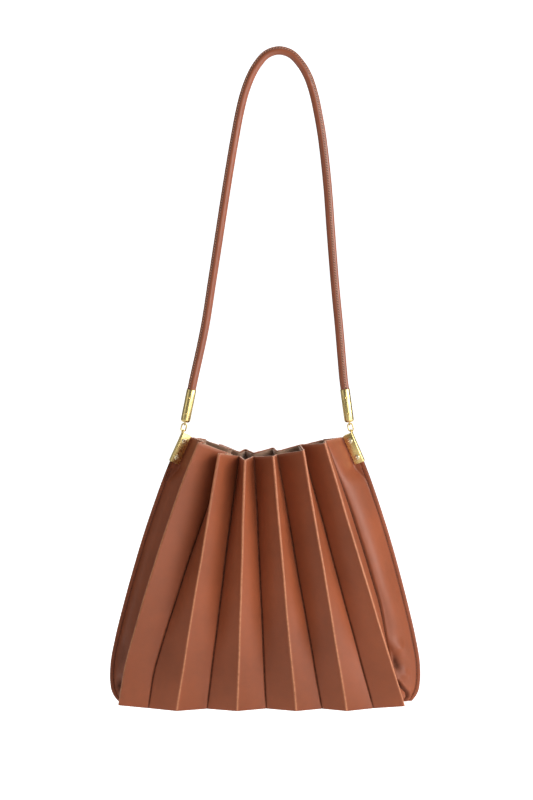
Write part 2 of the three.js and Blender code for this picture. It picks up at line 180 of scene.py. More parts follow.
class BagSizes(bpy.types.PropertyGroup):
    """Sizes of the leather walls, the seams, the fittings and the strap."""

    bag_height: length_of("Height", "Height at the side seams", 0.272)
    base_half_width: length_of("Base half width", "Half of the widest width", 0.156)
    mouth_half_width: length_of("Mouth half width", "Half of the width at the mouth", 0.0842)
    mouth_shift: length_of("Mouth shift", "How far the mouth stands to the right", 0.00225)
    mouth_dip: length_of("Mouth dip", "How far the mouth's edge hangs below the seams", 0.0215)
    mouth_half_gap: length_of("Mouth half gap", "Half of the gap between the valleys at the mouth", 0.014)
    base_half_depth: length_of("Base half depth", "Half of the depth at the base", 0.038)
    belly_depth: length_of("Belly", "How far the walls swell", 0.005)
    corner_lift: length_of("Corner lift", "How far the corner folds end above the base", 0.005)
    seam_end_lift: length_of("Seam end lift", "How far the side seams end above the base", 0.0015)
    base_pleat_depth: length_of("Base pleat depth", "Depth of a pleat at the base", 0.0064)
    mouth_pitch: length_of("Mouth pitch", "Width of half a pleat at the mouth", 0.01263)
    base_pitch: length_of("Base pitch", "Width of half a pleat at the base", 0.02839)
    leather_wall: length_of("Leather", "Thickness of the leather", 0.0015)
    lining_wall: length_of("Lining", "Thickness of the lining", 0.001)
    lining_drop: length_of("Lining drop", "How far the lining ends below the mouth's edge", 0.0012)
    base_thickness: length_of("Base board", "Thickness of the covered base board", 0.0025)
    ridge_radius: length_of("Ridge radius", "Outer radius of a ridge", 0.0018)
    valley_radius: length_of("Valley radius", "Outer radius of a valley", 0.0006)
    crease_radius: length_of("Crease radius", "Outer radius of a soft crease", 0.001)
    seam_width: length_of("Seam width", "Width of the flat side seam", 0.0044)
    clip_seam_width: length_of("Seam under clip", "Width of the flat seam under the corner clip", 0.0102)
    seam_face: length_of("Seam face", "Half of the side seam's thickness", 0.0016)
    seam_stitch: length_of("Stitch line", "Distance of the stitches from the seam's edge", 0.0037)
    stitch_pitch: length_of("Stitch pitch", "Distance between stitches of the side seams", 0.0029)
    corner_turn: FloatProperty(
        name="Corner turn",
        description="Turn of the mouth's corners towards the front",
        default=math.radians(17),
        subtype="ANGLE",
    )
    clip_length: length_of("Clip length", "Length of a corner clip", 0.031)
    clip_reach: length_of("Clip reach", "Width of a corner clip inside the seam's edge", 0.009)
    clip_face: length_of("Clip face", "Half of the corner clip's thickness", 0.00275)
    clip_metal: length_of("Clip metal", "Thickness of the clip's sheet metal", 0.0008)
    clip_rise: length_of("Clip rise", "How far a clip stands above the seam", 0.0008)
    screw_inset: length_of("Screw inset", "Distance of the screws from the seam's edge", 0.0039)
    screw_upper: length_of("Upper screw", "Distance of the upper screw below the corner", 0.0062)
    screw_lower: length_of("Lower screw", "Distance of the lower screw below the corner", 0.024)
    screw_radius: length_of("Screw radius", "Radius of a screw's head", 0.0027)
    wire: length_of("Wire", "Diameter of the wire of the links and eyes", 0.0012)
    eye_radius: length_of("Eye radius", "Middle radius of an eye", 0.002)
    link_radius: length_of("Link radius", "Middle radius of a link's ends", 0.0024)
    link_straight: length_of("Link straight", "Length of a link's straight sides", 0.003)
    ferrule_length: length_of("Ferrule length", "Length of a ferrule", 0.0334)
    ferrule_radius: length_of("Ferrule radius", "Radius of a ferrule", 0.0048)
    strap_diameter: length_of("Strap", "Diameter of the strap", 0.0086)
    strap_rings: IntProperty(name="Strap rings", description="Steps along the strap", default=420)
    strap_pitch: length_of("Strap stitch pitch", "Distance between the strap's stitches", 0.0026)


class BagColours(bpy.types.PropertyGroup):
    """Colours of the leather, the lining, the thread, the metal and the studio."""

    leather: colour_of("Leather", "Saddle brown of the walls", (0.285, 0.078, 0.032))
    # Lighter brown of the ridges: partly wear and partly painted highlight.
    fold: colour_of("Fold edges", "Lighter brown along pressed folds", (0.6, 0.235, 0.115))
    rim: colour_of("Cut edges", "Pale tan of cut leather edges", (0.66, 0.34, 0.22))
    strap: colour_of("Strap", "Brown of the rolled strap", (0.29, 0.085, 0.04))
    lining: colour_of("Lining", "Taupe of the lining", (0.44, 0.27, 0.18))
    strap_thread: colour_of("Strap thread", "Light brown of the strap's stitches", (0.6, 0.28, 0.16))
    thread: colour_of("Seam thread", "Brown of the side seams' stitches", (0.14, 0.038, 0.018))
    gold: colour_of("Gold", "Warm gold of the fittings", (0.84, 0.65, 0.27))
    # The screws' gold is a paler copy of the clips' gold: painted highlight on their heads.
    screw: colour_of("Screws", "Pale gold of the screw heads", (0.97, 0.85, 0.58))
    studio: colour_of("Studio", "Pale floor and backdrop", (0.9, 0.9, 0.9))


def mix(a, b, share):
    return a + (b - a) * share


def smoothstep(low, high, value):
    share = np.clip((value - low) / (high - low), 0, 1)
    return share * share * (3 - 2 * share)


def bell(distance, width):
    """A smooth bump of height one that falls off over a half width."""
    return np.exp(-((distance / width) ** 2))


def unit(vectors):
    """Each row of vectors brought to a length of one."""
    return vectors / np.maximum(np.linalg.norm(vectors, axis=1), 1e-12)[:, None]


def halfway(directions):
    """At each point of a line, the direction halfway between those of its two stretches."""
    return unit(np.vstack((directions[:1], directions[:-1] + directions[1:], directions[-1:])))


def lengths_along(line):
    """Length of a line from its start to each of its points."""
    return np.concatenate(([0], np.cumsum(np.linalg.norm(np.diff(line, axis=0), axis=1))))


def smooth_table(places, values):
    """A smooth curve through a table that keeps each stretch rising or falling as the table does."""
    xs, ys = np.array(places, float), np.array(values, float)
    steps = np.diff(xs)
    slopes = np.diff(ys) / steps
    tangents = np.zeros(len(xs))
    tangents[0], tangents[-1] = slopes[0], slopes[-1]
    for index in range(1, len(xs) - 1):
        before, after = slopes[index - 1], slopes[index]
        if before * after > 0:
            tangents[index] = 2 * before * after / (before + after)

    def value_at(x):
        index = int(np.clip(np.searchsorted(xs, x) - 1, 0, len(steps) - 1))
        step = steps[index]
        t = (x - xs[index]) / step
        return (
            (1 + 2 * t) * (1 - t) ** 2 * ys[index]
            + t * (1 - t) ** 2 * step * tangents[index]
            + t * t * (3 - 2 * t) * ys[index + 1]
            - t * t * (1 - t) * step * tangents[index + 1]
        )

    return value_at


seam_spread = smooth_table(SEAM_DROP, SEAM_SPREAD)


def wobble(seed, place):
    """A slow, small, repeatable unevenness between about -1 and 1."""
    return (
        0.6 * math.sin(2.1 + 1.7 * seed + 5.3 * place)
        + 0.3 * math.sin(0.4 + 2.9 * seed + 13.7 * place)
        + 0.15 * math.sin(1.3 + 4.1 * seed + 31 * place)
    )


def seam_point(sizes, side, drop):
    spread = seam_spread(drop)
    x = side * mix(sizes.mouth_half_width, sizes.base_half_width, spread) + sizes.mouth_shift * (1 - drop)
    return np.array((x, -sizes.seam_face, mix(sizes.bag_height, sizes.seam_end_lift, drop)))


def seam_axes(sizes, side, drop):
    """Unit vectors of a side seam: down along it and inward across it."""
    step = 0.02
    top, bottom = (0, SEAM_DROP[1]) if drop <= SEAM_DROP[1] else (drop - step, min(drop + step, 1))
    down = seam_point(sizes, side, bottom) - seam_point(sizes, side, top)
    down /= np.linalg.norm(down)
    return down, np.array((side * down[2], 0, -side * down[0]))


def corner_turn_at(sizes, drop):
    return sizes.corner_turn * (1 - smoothstep(0.1, 0.3, drop))


def flange_point(sizes, side, drop, inside, facing=1):
    """A point of the flat side seam, turned with the mouth's corner. facing is -1 for the back."""
    edge = seam_point(sizes, side, drop)
    turn = facing * corner_turn_at(sizes, drop)
    _, inward = seam_axes(sizes, side, drop)
    along = inward * inside
    along[2] *= 1 - smoothstep(0.94, 1, drop)
    across = edge[1]
    reach = along[0] * math.cos(turn) + side * across * math.sin(turn)
    depth = -side * along[0] * math.sin(turn) + across * math.cos(turn)
    return np.array((edge[0] + reach, depth, edge[2] + along[2]))


def fold_point(sizes, fold, index, drop, facing=1):
    """The corner of a fold at a share of the height below the mouth."""
    along = mix(drop, seam_spread(min(drop, SEAM_DROP[8])), fold.bow)
    pleat_width = math.hypot(sizes.base_pitch, sizes.base_pleat_depth)
    depth = mix(sizes.mouth_half_gap, sizes.base_half_depth - sizes.base_pleat_depth, drop)
    depth += sizes.belly_depth * 4 * drop * (1 - drop)
    if fold.kind != "valley":
        depth += math.sqrt(pleat_width**2 - mix(sizes.mouth_pitch, sizes.base_pitch, drop) ** 2)
    mouth_x = sizes.mouth_shift + fold.mouth_x * sizes.mouth_half_width
    x = mix(mouth_x, fold.base_x * sizes.base_half_width, along)
    y = -depth * mix(fold.mouth_set, fold.base_set, drop)
    z = mix(sizes.bag_height - fold.dip * sizes.mouth_dip, fold.lift * sizes.corner_lift, drop)
    if fold.kind == "ridge":
        z -= RIDGE_SAG * smoothstep(0.97, 1, drop)
    if facing < 0:
        z -= fold.back_drop * MM * (1 - drop) ** 3
    if fold.kind == "crease" and fold.mouth_x > 0:
        x -= LAST_TUCK * smoothstep(0.58, 0.82, drop)
    uneven = (wobble(index, drop), wobble(index + 20, drop), wobble(index + 40, 0) * (1 - drop))
    return np.array((x, y, z)) + np.array(uneven) * FOLD_UNEVENNESS


def belt_headings(middles, radii):
    """Directions of the straight stretches between arcs round the middles."""
    spans = np.diff(middles, axis=0)
    tilts = np.arcsin(np.clip(np.diff(radii) / np.linalg.norm(spans, axis=1), -1, 1))
    return np.arctan2(spans[:, 1], spans[:, 0]) - tilts


def belt(points, radii):
    """Rounds a line of corners: the middle and the bisector of each arc, and the directions between."""
    steps = unit(np.diff(points, axis=0))
    bisectors = halfway(np.stack((-steps[:, 1], steps[:, 0]), axis=1))
    middles = points + bisectors * radii[:, None]
    return middles, bisectors, belt_headings(middles, radii)


def turn_between(before, after, radius):
    """Angle of an arc between two directions, the long way round where its radius asks for that."""
    turn = (after - before + math.pi) % (2 * math.pi) - math.pi
    if radius > 0 and turn < -math.pi / 2:
        turn += 2 * math.pi
    if radius < 0 and turn > math.pi / 2:
        turn -= 2 * math.pi
    return turn


def left_of(heading):
    return np.array((-math.sin(heading), math.cos(heading)))


def trace(middles, radii, headings, arc_steps, straight_shares, puffs, early=()):
    """The points of a rounded line, and for each the place along the corners that it belongs to.

    A stretch in early swells most in its first part."""
    line, places = [middles[0]], [0.0]
    last = len(middles) - 1
    for index in range(last):
        normal = left_of(headings[index])
        start = middles[index] - radii[index] * normal
        end = middles[index + 1] - radii[index + 1] * normal
        length = np.linalg.norm(end - start)
        for share in straight_shares[index](length):
            swell = puffs[index] * math.sin(math.pi * share) ** 1.3
            if index in early:
                swell = puffs[index] * math.sin(math.pi * share**0.6)
            line.append(mix(start, end, share) - normal * swell)
            places.append(index + share)
        if index + 1 < last:
            turn = turn_between(headings[index], headings[index + 1], radii[index + 1])
            steps = arc_steps[index + 1]
            for step in range(steps + 1):
                heading = headings[index] + turn * step / steps
                line.append(middles[index + 1] - radii[index + 1] * left_of(heading))
                places.append(index + 1.0)
    line.append(middles[last])
    places.append(float(last))
    return np.array(line), np.array(places)


def line_normals(line):
    """Left normals of a line of points."""
    along = halfway(unit(np.diff(line, axis=0)))
    return np.stack((-along[:, 1], along[:, 0]), axis=1)


def heights_along(line, places, corner_heights):
    """Heights along a line, straight from one corner's to the next, with lengths and the corners' stops."""
    lengths = lengths_along(line)
    stops = [lengths[places == index].mean() for index in range(len(corner_heights))]
    return np.interp(lengths, stops, corner_heights), lengths, stops


def even_shares(count, length):
    return [step / count for step in range(1, count)]


def pleat_shares(length):
    """Places across a pleat's face, close together at its two folds."""
    places = (0.4, 0.8, 1.2, 1.7, 2.4, 3.6)
    near = [min(place * MM / length, 0.03 * number) for number, place in enumerate(places, 1)]
    middle = [mix(near[-1], 1 - near[-1], step / 4) for step in (1, 2, 3)]
    return near + middle + [1 - share for share in reversed(near)]


def seam_shares(reverse, length):
    """Places across the flat seam, close together at the stitch line."""
    places = (0.5, 1.1, 1.9, 2.7, 3.2, 3.45, 3.7, 3.95, 4.1, 4.3)
    shares = [min(place * MM / length, 0.9 + 0.01 * number) for number, place in enumerate(places)]
    return [1 - share for share in reversed(shares)] if reverse else shares


def swell_rise(swells, x, z):
    """Outward rise, in metres, and painted shade of the dents and bulges at a point of the front view."""
    rise = painted_hollow_shade = 0.0
    for swell in swells:
        up = z - swell.z * MM
        across = (x - swell.x * MM + swell.lean * up) / (swell.half_width * MM)
        near = math.exp(-(across**2) - (up / (swell.half_height * MM)) ** 2)
        rise += swell.rise * MM * near
        painted_hollow_shade += max(-swell.rise, 0) / FULL_SHADE_DEPTH * near**SHADE_FALL
    return np.array((rise, painted_hollow_shade))


def crease_rise(x, z):
    """Rise and painted shade of a tucked crease: a narrow groove with a lip outside it and a low face inside.
    """
    nearest, side = 1.0, 0.0
    for (ax, az), (bx, bz) in zip(CORNER_CREASE, CORNER_CREASE[1:]):
        a, b = np.array((ax, az)) * MM, np.array((bx, bz)) * MM
        step, reach = b - a, np.array((x, z)) - a
        share = min(max(float(reach @ step / (step @ step)), 0), 1)
        gap = reach - step * share
        distance = float(np.linalg.norm(gap))
        if distance < nearest:
            nearest = distance
            side = 1.0 if step[0] * reach[1] - step[1] * reach[0] > 0 else -1.0
    groove = bell(nearest, CREASE_WIDTH)
    lip = side * LIP_HEIGHT * bell(nearest, LIP_WIDTH) * (1 - bell(nearest, LIP_EDGE))
    return np.array((lip - CREASE_DEPTH * groove, groove))


class WallSection:
    """One level line of a wall, from the left seam's edge round the folds to the right one's."""

    def __init__(self, sizes, drop, facing=1):
        self.sizes, self.drop = sizes, drop
        seam = self.seam_width_at(drop)
        corners = [flange_point(sizes, -1, drop, inside, facing) for inside in (0, seam)]
        corners += [fold_point(sizes, fold, index, drop, facing) for index, fold in enumerate(FOLDS)]
        corners += [flange_point(sizes, 1, drop, inside, facing) for inside in (seam, 0)]
        self.corners = np.array(corners)
        rounding = {
            "ridge": sizes.ridge_radius,
            "valley": -sizes.valley_radius,
            "crease": -sizes.crease_radius,
        }
        bend = mix(SEAM_BEND_AT_CLIP, SEAM_BEND, smoothstep(0.12, 0.26, drop))
        self.radii = np.array([0.0, bend, *(rounding[fold.kind] for fold in FOLDS), bend, 0.0])
        self.middles, self.bisectors, self.headings = belt(self.corners[:, :2], self.radii)
        swell = 4 * drop * (1 - drop)
        self.puffs = [0.0, 0.5 * sizes.belly_depth * swell]
        self.puffs += [0.0] + [MM * swell] * (len(FOLDS) - 3) + [0.0, sizes.belly_depth * swell, 0.0]

    def seam_width_at(self, drop):
        return mix(self.sizes.clip_seam_width, self.sizes.seam_width, smoothstep(0.112, 0.175, drop))

    def fold_marks(self, lengths, stops):
        """Wear and painted highlight along the ridges and painted shade along the valleys and creases."""
        wear_and_highlight, shade = np.zeros(len(lengths)), np.zeros(len(lengths))
        for fold, stop in zip(FOLDS, stops[2:]):
            if fold.kind == "ridge":
                wear_and_highlight += bell(lengths - stop, WEAR_AND_HIGHLIGHT_WIDTH)
            else:
                shade += bell(lengths - stop, SHADE_WIDTH)
        return wear_and_highlight, shade

    def dents(self, place, last, x, z):
        """Rise and painted shade at a place of the soft faces between a side seam and its nearest fold."""
        on_left = place < 2
        share, fading = (place - 1, 0.9) if on_left else (place - last, 0.86)
        window = smoothstep(0, 0.12, share) * (1 - smoothstep(fading, 1, share))
        if on_left:
            return window * swell_rise(LEFT_SWELLS, x, z)
        return window * (swell_rise(RIGHT_SWELLS, x, z) + crease_rise(x, z))

    def outer_line(self):
        """Points, left normals, wear and painted highlight of the ridges and painted shade of the valleys,
        seams and dents on the outer face.
        """
        crease, left_seam, right_seam = len(self.radii) - 3, 1, len(self.radii) - 2
        arc_steps = [6, 5] + [8 if fold.kind == "ridge" else 5 for fold in FOLDS] + [5, 6]
        shares = [partial(seam_shares, False), partial(even_shares, 24), partial(even_shares, 5)]
        shares += [pleat_shares] * (len(FOLDS) - 3)
        shares += [partial(even_shares, 6), partial(even_shares, 42), partial(seam_shares, True)]
        line, places = trace(
            self.middles, self.radii, self.headings, arc_steps, shares, self.puffs, early=(crease,))
        normals = line_normals(line)
        heights, lengths, stops = heights_along(line, places, self.corners[:, 2])
        wear_and_highlight, folded = self.fold_marks(lengths, stops)
        shade = folded.copy()
        # Painted shade along the step beside each flat seam.
        for index in (left_seam, right_seam):
            shade += 0.35 * smoothstep(0.14, 0.24, self.drop) * bell(lengths - stops[index], SEAM_SHADE_WIDTH)
        pinch = PINCH_DEPTH * smoothstep(0.02, 0.3, self.drop) * (1 - 0.7 * smoothstep(0.96, 1, self.drop))
        line = line.copy()
        for index, place in enumerate(places):
            rise = 0
            if place <= left_seam or place >= right_seam:
                inside = lengths[index] if place <= left_seam else lengths[-1] - lengths[index]
                thread = bell(inside - self.sizes.seam_stitch, THREAD_WIDTH)
                rise = -THREAD_GROOVE * thread - EDGE_TURN * bell(inside, EDGE_WIDTH)
            elif place > crease or place < left_seam + 1:
                rise, painted_hollow_shade = self.dents(place, crease, line[index][0], heights[index])
                # Painted shade in the dents and the tucked crease.
                shade[index] = min(shade[index] + painted_hollow_shade, 1)
            line[index] -= normals[index] * (rise - pinch * folded[index])
        return np.column_stack((line, heights)), line_normals(line), wear_and_highlight, shade

    def inner_line(self, offset, thickness):
        """Outer face of a layer inside the leather, which bridges the narrow bottoms of the ridges."""
        middles, radii = self.middles.copy(), self.radii - offset
        floor = thickness + 0.35 * MM
        for index in range(1, len(radii) - 1):
            if 0 < self.radii[index] and radii[index] < floor:
                turn = turn_between(self.headings[index - 1], self.headings[index], self.radii[index])
                half_gap = max((math.pi - abs(turn)) / 2, 0.06)
                shift = (floor - radii[index]) / math.sin(half_gap)
                middles[index] += self.bisectors[index] * min(shift, 14 * MM)
                radii[index] = floor
        middles, radii = middles[1:-1], radii[1:-1]
        headings = belt_headings(middles, radii)
        for end in (0, -1):
            middles[end] = middles[end] - radii[end] * left_of(headings[end])
            radii[end] = 0
        last = len(radii) - 2
        shares = [partial(even_shares, count) for count in (10, *[5] * (last - 1), 16)]
        line, places = trace(
            middles, radii, headings, [5] * len(radii), shares, self.puffs[1:-1], early=(last,))
        heights, _, _ = heights_along(line, places, self.corners[1:-1, 2])
        normals = line_normals(line)
        for index, place in enumerate(places):
            share = 1 - place if place < 1 else place - last
            if share > 0:
                # Room for the dents of the leather at the lower corners.
                room = 3.5 * MM if place < 1 else 5.5 * MM
                low = 1 - smoothstep(0.05, 0.085, heights[index])
                line[index] += normals[index] * room * low * math.sin(math.pi * share) ** 0.5
        return np.column_stack((line, heights)), line_normals(line)


def row_drops():
    """Levels of a wall from the mouth down, closer together at the dented foot."""
    return np.concatenate((np.linspace(0, 0.82, 66), np.linspace(0.82, 1, 40)[1:]))


def new_mesh_object(name, points, faces, attributes=()):
    """A smooth mesh object in the bag's frame. attributes are (name, values) on its points."""
    mesh = bpy.data.meshes.new(name)
    mesh.from_pydata([tuple(point) for point in np.asarray(points) - HANG_POINT], [], faces)
    for key, values in attributes:
        layer = mesh.attributes.new(key, "FLOAT", "POINT")
        layer.data.foreach_set("value", np.asarray(values, np.float32))
    mesh.polygons.foreach_set("use_smooth", [True] * len(mesh.polygons))
    mesh.update()
    piece = bpy.data.objects.new(name, mesh)
    bpy.context.collection.objects.link(piece)
    return piece


def tube_faces(rings, sides, first=0, flip=False):
    """Quads round a tube of point rings, with a cap at each end."""
    faces = []
    for ring in range(rings - 1):
        for side in range(sides):
            a, b = first + ring * sides + side, first + ring * sides + (side + 1) % sides
            faces.append((a, a + sides, b + sides, b) if flip else (a, b, b + sides, a + sides))
    start, end = range(first, first + sides), range(first + (rings - 1) * sides, first + rings * sides)
    caps = (start, reversed(end)) if flip else (reversed(start), end)
    return faces + [tuple(cap) for cap in caps]


def sheet_rows(outer_rows, normal_rows, thickness, rim):
    """Rows round a sheet: down its outer face, round its lower rim, up its inner face and over the top.

    Gives the rows of points, how much of each is a cut edge, and the level that each belongs to."""
    corner = rim * (1 - math.sqrt(0.5))
    loop, parts, levels = [], [], []

    def place(row, depth, rise, part):
        points = outer_rows[row].copy()
        points[:, :2] += normal_rows[row] * depth
        points[:, 2] += rise
        loop.append(points)
        parts.append(part)
        levels.append(row)

    last = len(outer_rows) - 1
    place(0, corner, -corner, 1.0)
    place(0, 0, -rim, 0.15)
    for row in range(1, last):
        place(row, 0, 0, 0.0)
    place(last, 0, rim, 0.0)
    place(last, corner, corner, 0.4)
    place(last, rim, 0, 0.6)
    place(last, thickness - rim, 0, 0.6)
    place(last, thickness - corner, corner, 0.4)
    place(last, thickness, rim, 0.0)
    for row in range(last - 1, 0, -1):
        place(row, thickness, 0, 0.0)
    place(0, thickness, -rim, 0.15)
    place(0, thickness - corner, -corner, 1.0)
    place(0, thickness - rim, 0, 1.0)
    place(0, rim, 0, 1.0)
    return np.array(loop), parts, levels


def sheet_object(name, loop, facing, attributes=()):
    """A closed sheet from the rows of points round it. facing is -1 for the back, which is mirrored."""
    rows, columns = loop.shape[:2]
    starts = [row * columns for row in range(rows)]
    faces = []
    for row, a in enumerate(starts):
        d = starts[(row + 1) % rows]
        faces += [(a + step, d + step, d + step + 1, a + step + 1) for step in range(columns - 1)]
    caps = [tuple(reversed(starts)), tuple(start + columns - 1 for start in starts)]
    if facing < 0:
        faces = [(a, b, c, d) for a, d, c, b in faces]
        caps = [tuple(reversed(cap)) for cap in caps]
    return new_mesh_object(name, loop.reshape(-1, 3) * (1, facing, 1), faces + caps, attributes)


def finish_piece(piece, slot, material, *replaced):
    piece.data.materials.clear()
    piece.data.materials.append(material)
    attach(piece, "root")
    if replaced:
        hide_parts(*replaced)
    return piece


class NodeBoard:
    """A material's node tree with short ways to add and join nodes."""

    def __init__(self, name):
        self.material = bpy.data.materials.new(name)
        self.material.use_nodes = True
        self.tree = self.material.node_tree
        self.tree.nodes.clear()
        self.output = self.add("ShaderNodeOutputMaterial")
        self.shader = self.add("ShaderNodeBsdfPrincipled")
        self.join(self.shader.outputs["BSDF"], self.output.inputs["Surface"])
        self.place = self.add("ShaderNodeTexCoord").outputs["Object"]

    def add(self, kind, **settings):
        """Adds a node. Settings are its own or its inputs, with an underscore for each space."""
        node = self.tree.nodes.new(kind)
        for key, value in settings.items():
            if hasattr(node, key):
                setattr(node, key, value)
            else:
                node.inputs[key.replace("_", " ")].default_value = value
        return node

    def join(self, start, end):
        self.tree.links.new(start, end)

    def feed(self, socket, value):
        """Gives a socket a number, a colour or another node's output."""
        if isinstance(value, (int, float)):
            socket.default_value = value
        elif isinstance(value, tuple):
            socket.default_value = (*value, 1)
        elif value is not None:
            self.join(value, socket)

    def noise(self, scale, detail=3.0, roughness=0.5):
        node = self.add("ShaderNodeTexNoise", Scale=scale, Detail=detail, Roughness=roughness)
        self.join(self.place, node.inputs["Vector"])
        return node.outputs["Fac"]

    def cells(self, scale):
        node = self.add("ShaderNodeTexVoronoi", feature="SMOOTH_F1", Scale=scale, Smoothness=0.6)
        self.join(self.place, node.inputs["Vector"])
        return node.outputs["Distance"]

    def attribute(self, name):
        return self.add("ShaderNodeAttribute", attribute_name=name).outputs["Fac"]

    def spread(self, value, low, high, to_low=0.0, to_high=1.0):
        node = self.add("ShaderNodeMapRange", From_Min=low, From_Max=high, To_Min=to_low, To_Max=to_high)
        self.join(value, node.inputs["Value"])
        return node.outputs["Result"]

    def math(self, operation, a, b):
        node = self.add("ShaderNodeMath", operation=operation)
        self.feed(node.inputs[0], a)
        self.feed(node.inputs[1], b)
        return node.outputs["Value"]

    def blend(self, share, a, b, kind="MIX"):
        node = self.add("ShaderNodeMix", data_type="RGBA", blend_type=kind)
        for number, value in ((0, share), (6, a), (7, b)):
            self.feed(node.inputs[number], value)
        return node.outputs[2]

    def bump(self, height, strength, distance, before=None):
        node = self.add("ShaderNodeBump", Strength=strength, Distance=distance)
        self.join(height, node.inputs["Height"])
        self.feed(node.inputs["Normal"], before)
        return node.outputs["Normal"]

    def finish(self, colour, roughness, normal=None, **settings):
        for name, value in (("Base Color", colour), ("Roughness", roughness), ("Normal", normal)):
            self.feed(self.shader.inputs[name], value)
        for key, value in settings.items():
            self.shader.inputs[key.replace("_", " ")].default_value = value
        return self.material


def scaled(colour, share):
    return tuple(min(part * share, 1.0) for part in colour)


def patchy(board, name, scale, low, high, least):
    """A mark of the mesh, made uneven by noise that weakens it to the least share."""
    mark = board.attribute(name)
    return board.math("MULTIPLY", mark, board.spread(board.noise(scale), low, high, least, 1.0))


def leather_material(name, colour, fold=None, rim=None, gloss=0.38, shine=0.32):
    """Smooth coated leather: fine pebbled grain, soft cloudiness, lighter folds of wear and painted
    highlight, painted shade in the valleys and pale cut edges.
    """
    board = NodeBoard(name)
    base = tuple(colour)
    clouds = board.spread(board.noise(16), 0.35, 0.65)
    tone = board.blend(clouds, scaled(base, 0.9), scaled(base, 1.1))
    mottle = board.spread(board.noise(140, 4, 0.6), 0.3, 0.7)
    tone = board.blend(mottle, tone, board.blend(1.0, tone, (1.1, 1.04, 0.98), "MULTIPLY"))
    roughness = board.spread(board.noise(60, 3), 0.3, 0.7, gloss, gloss + 0.1)
    if fold is not None:
        # Lighter ridges: partly wear and partly painted highlight.
        ridge_wear_and_highlight = patchy(board, "fold_wear", 320, 0.3, 0.6, 0.55)
        tone = board.blend(ridge_wear_and_highlight, tone, tuple(fold))
        # Painted shade: valleys, creases, dents and the step beside the seams are darkened towards a fifth of
        # the base colour, and made rougher.
        pressed = patchy(board, "fold_shade", 260, 0.3, 0.6, 0.7)
        tone = board.blend(board.math("MULTIPLY", pressed, 0.85), tone, scaled(base, 0.2))
        roughness = board.math("ADD", roughness, board.math("MULTIPLY", pressed, 0.45))
    if rim is not None:
        cut = patchy(board, "cut_edge", 700, 0.25, 0.55, 0.75)
        tone = board.blend(cut, tone, tuple(rim))
    grain = board.bump(board.cells(1250), 0.3, 0.00012)
    pores = board.bump(board.noise(3200, 2), 0.2, 0.00006, grain)
    creases = board.bump(board.noise(75, 4, 0.55), 0.35, 0.0004, pores)
    return board.finish(tone, roughness, creases, Specular_IOR_Level=shine)


def lining_material(colour):
    """Brushed taupe lining with a short nap."""
    board = NodeBoard("brushed_lining")
    base = tuple(colour)
    clouds = board.spread(board.noise(38, 4, 0.6), 0.3, 0.7)
    tone = board.blend(clouds, scaled(base, 0.75), scaled(base, 1.25))
    nap = board.bump(board.noise(2600, 3, 0.7), 0.5, 0.00025)
    soft = board.bump(board.noise(160, 3), 0.3, 0.0006, nap)
    return board.finish(tone, 0.88, soft, Sheen_Weight=0.25, Sheen_Roughness=0.5)


def thread_material(name, colour):
    """Waxed thread with a fine twist."""
    board = NodeBoard(name)
    base = tuple(colour)
    tone = board.blend(board.spread(board.noise(900, 2), 0.3, 0.7), scaled(base, 0.7), scaled(base, 1.3))
    return board.finish(tone, 0.55, board.bump(board.noise(4200, 2), 0.4, 0.0001))


def gold_material(name, colour, roughness):
    """Polished plate with slight waviness and fine hairlines."""
    board = NodeBoard(name)
    base = tuple(colour)
    tone = board.blend(board.spread(board.noise(120, 3), 0.3, 0.7), scaled(base, 0.93), scaled(base, 1.05))
    smears = board.spread(board.noise(260, 4, 0.6), 0.3, 0.7, roughness * 0.8, roughness * 1.4)
    waves = board.bump(board.noise(180, 2), 0.12, 0.0006)
    return board.finish(tone, smears, waves, Metallic=1.0)


def material_once(name, make, *args):
    """The material of that name, made the first time it is asked for."""
    return bpy.data.materials.get(name) or make(name, *args)


def deselect_all():
    if bpy.context.object is not None and bpy.context.object.mode != "OBJECT":
        bpy.ops.object.mode_set(mode="OBJECT")
    bpy.ops.object.select_all(action="DESELECT")


def make_active(piece):
    """Selects one piece alone."""
    deselect_all()
    piece.select_set(True)
    bpy.context.view_layer.objects.active = piece


def pick(piece, kind, test):
    """Selects the verts, edges or faces that pass a test. The piece is in edit mode."""
    modes = {"verts": "VERT", "edges": "EDGE", "faces": "FACE"}
    bpy.ops.mesh.select_mode(type=modes[kind])
    bpy.ops.mesh.select_all(action="DESELECT")
    mesh = bmesh.from_edit_mesh(piece.data)
    for part in getattr(mesh, kind):
        if test(part):
            part.select_set(True)
    mesh.select_flush_mode()
    bmesh.update_edit_mesh(piece.data)


def apply_modifier(piece, kind, **settings):
    modifier = piece.modifiers.new(kind.title(), kind)
    for key, value in settings.items():
        setattr(modifier, key, value)
    bpy.ops.object.modifier_apply(modifier=modifier.name)


def soften(piece, width, degrees):
    """Rounds the edges of a piece that are sharper than an angle."""
    settings = {"limit_method": "ANGLE", "angle_limit": math.radians(degrees)}
    apply_modifier(piece, "BEVEL", width=width, segments=2, **settings)


def start_piece(name):
    """Names the shape just added and puts its place, turn and scale in its mesh."""
    piece = bpy.context.object
    piece.name = name
    bpy.ops.object.transform_apply(location=True, rotation=True, scale=True)
    return piece


def settle(piece, matrix):
    """Puts a piece at its place in the bag, with the place in its mesh."""
    make_active(piece)
    piece.matrix_world = Matrix.Translation(-Vector(HANG_POINT)) @ matrix
    bpy.context.view_layer.update()
    bpy.ops.object.transform_apply(location=True, rotation=True, scale=True)
    bpy.ops.object.shade_smooth_by_angle(angle=math.radians(35))
    return piece


def add_ring(radius, wire_radius, steps, **place):
    """Adds a ring of round wire."""
    bpy.ops.mesh.primitive_torus_add(
        major_radius=radius, minor_radius=wire_radius, major_segments=steps, minor_segments=12, **place)


